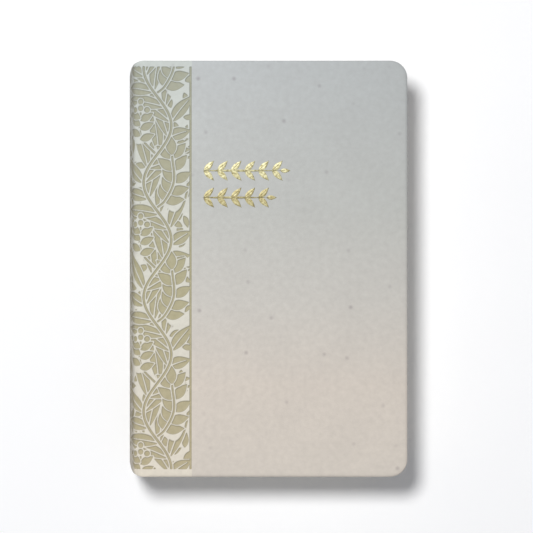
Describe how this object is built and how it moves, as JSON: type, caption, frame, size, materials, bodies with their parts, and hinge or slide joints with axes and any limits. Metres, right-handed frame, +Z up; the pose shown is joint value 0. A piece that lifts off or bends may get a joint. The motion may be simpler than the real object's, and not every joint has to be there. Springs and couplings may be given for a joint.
{
  "type": "bible",
  "caption": "Thick closed book with a flexible embossed imitation-leather cover, rounded spine and fore-edge corners, foil sprigs and thin sewn pages.",
  "frame": {"origin": "middle of the book's box on the surface it lies on, under the back cover", "axes": "+Y towards the head of the book, -X towards the spine, +Z up through the front cover"},
  "size_m": [0.161, 0.24, 0.045],
  "materials": {
    "cover_skin": "soft-touch imitation leather, embossed",
    "board": "matt grey board",
    "endpaper": "smooth matt",
    "page_paper": "thin matt bible paper",
    "gold_foil": "stamped metallic foil",
    "spine_paper": "kraft paper lining",
    "mull_cloth": "open-weave cotton",
    "thread": "twisted cotton",
    "headband_cloth": "woven silk-like band"
  },
  "bodies": {
    "back_cover": {"back_skin": "cover_skin", "back_board": "board", "back_pastedown": "endpaper", "back_flyleaf": "endpaper", "back_joint_strip": "cover_skin", "section_01": "page_paper", "spine_lining": "spine_paper", "mull": "mull_cloth", "headband": "headband_cloth", "tailband": "headband_cloth", "sewing_thread_1": "thread", "sewing_thread_2": "thread", "sewing_thread_3": "thread", "sewing_thread_4": "thread", "sewing_thread_5": "thread"},
    "spine": {"spine_skin": "cover_skin", "spine_liner": "board"},
    "front_half": {"front_joint_strip": "cover_skin", "section_16": "page_paper"},
    "front_cover": {"front_skin": "cover_skin", "front_board": "board", "front_pastedown": "endpaper", "foil_sprig_upper": "gold_foil", "foil_sprig_lower": "gold_foil"},
    "front_flyleaf": {"front_flyleaf": "endpaper"},
    "middle_leaf_back": {"middle_leaf_back": "page_paper"},
    "middle_leaf_front": {"middle_leaf_front": "page_paper"},
    "section_02": {"section_02": "page_paper"},
    "section_03": {"section_03": "page_paper"},
    "section_04": {"section_04": "page_paper"},
    "section_05": {"section_05": "page_paper"},
    "section_06": {"section_06": "page_paper"},
    "section_07": {"section_07": "page_paper"},
    "section_08": {"section_08": "page_paper"},
    "section_15": {"section_15": "page_paper"},
    "section_14": {"section_14": "page_paper"},
    "section_13": {"section_13": "page_paper"},
    "section_12": {"section_12": "page_paper"},
    "section_11": {"section_11": "page_paper"},
    "section_10": {"section_10": "page_paper"},
    "section_09": {"section_09": "page_paper"}
  },
  "joints": [
    {"name": "book_opening", "type": "hinge", "parent": "back_cover", "child": "spine", "pos_m": [-0.0755, 0, 0.005], "axis": [0, -1, 0], "range_deg": [0, 90], "deforming": ["back_joint_strip", "front_joint_strip", "spine_lining", "mull", "headband", "tailband", "sewing_thread_1", "sewing_thread_2", "sewing_thread_3", "sewing_thread_4", "sewing_thread_5"]},
    {"name": "front_half_turn", "type": "hinge", "parent": "spine", "child": "front_half", "pos_m": [-0.0755, 0, 0.0399], "axis": [0, -1, 0], "range_deg": [0, 91]},
    {"name": "front_cover_hinge", "type": "hinge", "parent": "front_half", "child": "front_cover", "pos_m": [-0.0705, 0, 0.04505], "axis": [0, -1, 0], "range_deg": [0, 180]},
    {"name": "front_flyleaf_lift", "type": "hinge", "parent": "front_half", "child": "front_flyleaf", "pos_m": [-0.0706, 0, 0.04235], "axis": [0, -1, 0], "range_deg": [0, 10]},
    {"name": "section_02_shift", "type": "slide", "parent": "back_cover", "child": "section_02", "axis": [-1, 0, 0], "range_m": [0, 0.00085]},
    {"name": "section_03_shift", "type": "slide", "parent": "back_cover", "child": "section_03", "axis": [-1, 0, 0], "range_m": [0, 0.00304]},
    {"name": "section_04_shift", "type": "slide", "parent": "back_cover", "child": "section_04", "axis": [-1, 0, 0], "range_m": [0, 0.00604]},
    {"name": "section_05_shift", "type": "slide", "parent": "back_cover", "child": "section_05", "axis": [-1, 0, 0], "range_m": [0, 0.00931]},
    {"name": "section_06_shift", "type": "slide", "parent": "back_cover", "child": "section_06", "axis": [-1, 0, 0], "range_m": [0, 0.01231]},
    {"name": "section_07_shift", "type": "slide", "parent": "back_cover", "child": "section_07", "axis": [-1, 0, 0], "range_m": [0, 0.0145]},
    {"name": "section_08_shift", "type": "slide", "parent": "back_cover", "child": "section_08", "axis": [-1, 0, 0], "range_m": [0, 0.01535]},
    {"name": "section_15_shift", "type": "slide", "parent": "front_half", "child": "section_15", "axis": [-1, 0, 0], "range_m": [0, 0.00085]},
    {"name": "section_14_shift", "type": "slide", "parent": "front_half", "child": "section_14", "axis": [-1, 0, 0], "range_m": [0, 0.00304]},
    {"name": "section_13_shift", "type": "slide", "parent": "front_half", "child": "section_13", "axis": [-1, 0, 0], "range_m": [0, 0.00604]},
    {"name": "section_12_shift", "type": "slide", "parent": "front_half", "child": "section_12", "axis": [-1, 0, 0], "range_m": [0, 0.00931]},
    {"name": "section_11_shift", "type": "slide", "parent": "front_half", "child": "section_11", "axis": [-1, 0, 0], "range_m": [0, 0.01231]},
    {"name": "section_10_shift", "type": "slide", "parent": "front_half", "child": "section_10", "axis": [-1, 0, 0], "range_m": [0, 0.0145]},
    {"name": "section_09_shift", "type": "slide", "parent": "front_half", "child": "section_09", "axis": [-1, 0, 0], "range_m": [0, 0.01535]},
    {"name": "middle_leaf_back_lift", "type": "hinge", "parent": "section_08", "child": "middle_leaf_back", "pos_m": [-0.0743, 0, 0.02225], "axis": [0, -1, 0], "range_deg": [0, 8]},
    {"name": "middle_leaf_front_lift", "type": "hinge", "parent": "section_09", "child": "middle_leaf_front", "pos_m": [-0.0743, 0, 0.02265], "axis": [0, -1, 0], "range_deg": [-5, 0]}
  ],
  "couplings": [
    {"joint": "front_half_turn", "follows": "book_opening", "ratio": 1},
    {"joint": "front_flyleaf_lift", "follows": "front_cover_hinge", "ratio": 0.05},
    {"joint": "section_02_shift", "follows": "book_opening", "m_per_rad": 0.000536},
    {"joint": "section_03_shift", "follows": "book_opening", "m_per_rad": 0.0019184},
    {"joint": "section_04_shift", "follows": "book_opening", "m_per_rad": 0.0038086},
    {"joint": "section_05_shift", "follows": "book_opening", "m_per_rad": 0.005868},
    {"joint": "section_06_shift", "follows": "book_opening", "m_per_rad": 0.0077582},
    {"joint": "section_07_shift", "follows": "book_opening", "m_per_rad": 0.0091406},
    {"joint": "section_08_shift", "follows": "book_opening", "m_per_rad": 0.0096766},
    {"joint": "section_15_shift", "follows": "book_opening", "m_per_rad": 0.000536},
    {"joint": "section_14_shift", "follows": "book_opening", "m_per_rad": 0.0019184},
    {"joint": "section_13_shift", "follows": "book_opening", "m_per_rad": 0.0038086},
    {"joint": "section_12_shift", "follows": "book_opening", "m_per_rad": 0.005868},
    {"joint": "section_11_shift", "follows": "book_opening", "m_per_rad": 0.0077582},
    {"joint": "section_10_shift", "follows": "book_opening", "m_per_rad": 0.0091406},
    {"joint": "section_09_shift", "follows": "book_opening", "m_per_rad": 0.0096766},
    {"joint": "middle_leaf_back_lift", "follows": "book_opening", "ratio": 0.08},
    {"joint": "middle_leaf_front_lift", "follows": "book_opening", "ratio": -0.05}
  ]
}
